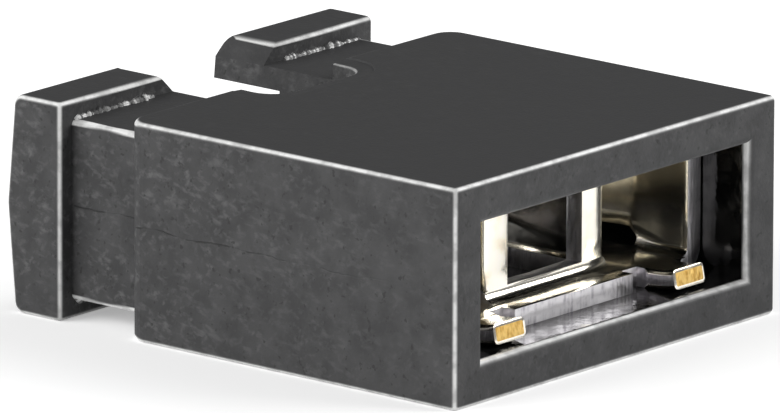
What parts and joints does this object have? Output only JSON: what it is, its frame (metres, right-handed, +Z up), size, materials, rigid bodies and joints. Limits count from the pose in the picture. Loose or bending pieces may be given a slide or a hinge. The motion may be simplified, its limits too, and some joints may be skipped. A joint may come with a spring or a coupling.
{
  "type": "jumper shunt",
  "caption": "Open-ended jumper shunt: a moulded plastic sleeve with two grip ears around a folded spring contact that bridges two square header pins.",
  "frame": {"origin": "middle of the footprint on the underside, as the shunt lies on one broad side", "axes": "+X along the pin row, +Y from the mating mouth towards the grip ears, +Z up through the thickness"},
  "size_m": [0.005, 0.0059, 0.0022],
  "materials": {
    "housing_plastic": "black glass-filled polyester with a fine spark-eroded texture and bright polished edges",
    "contact_metal": "bright plated phosphor-bronze sheet, with bare yellow metal where the carrier strip was broken off"
  },
  "bodies": {
    "root": {"housing": "housing_plastic", "contact": "contact_metal"}
  },
  "joints": []
}
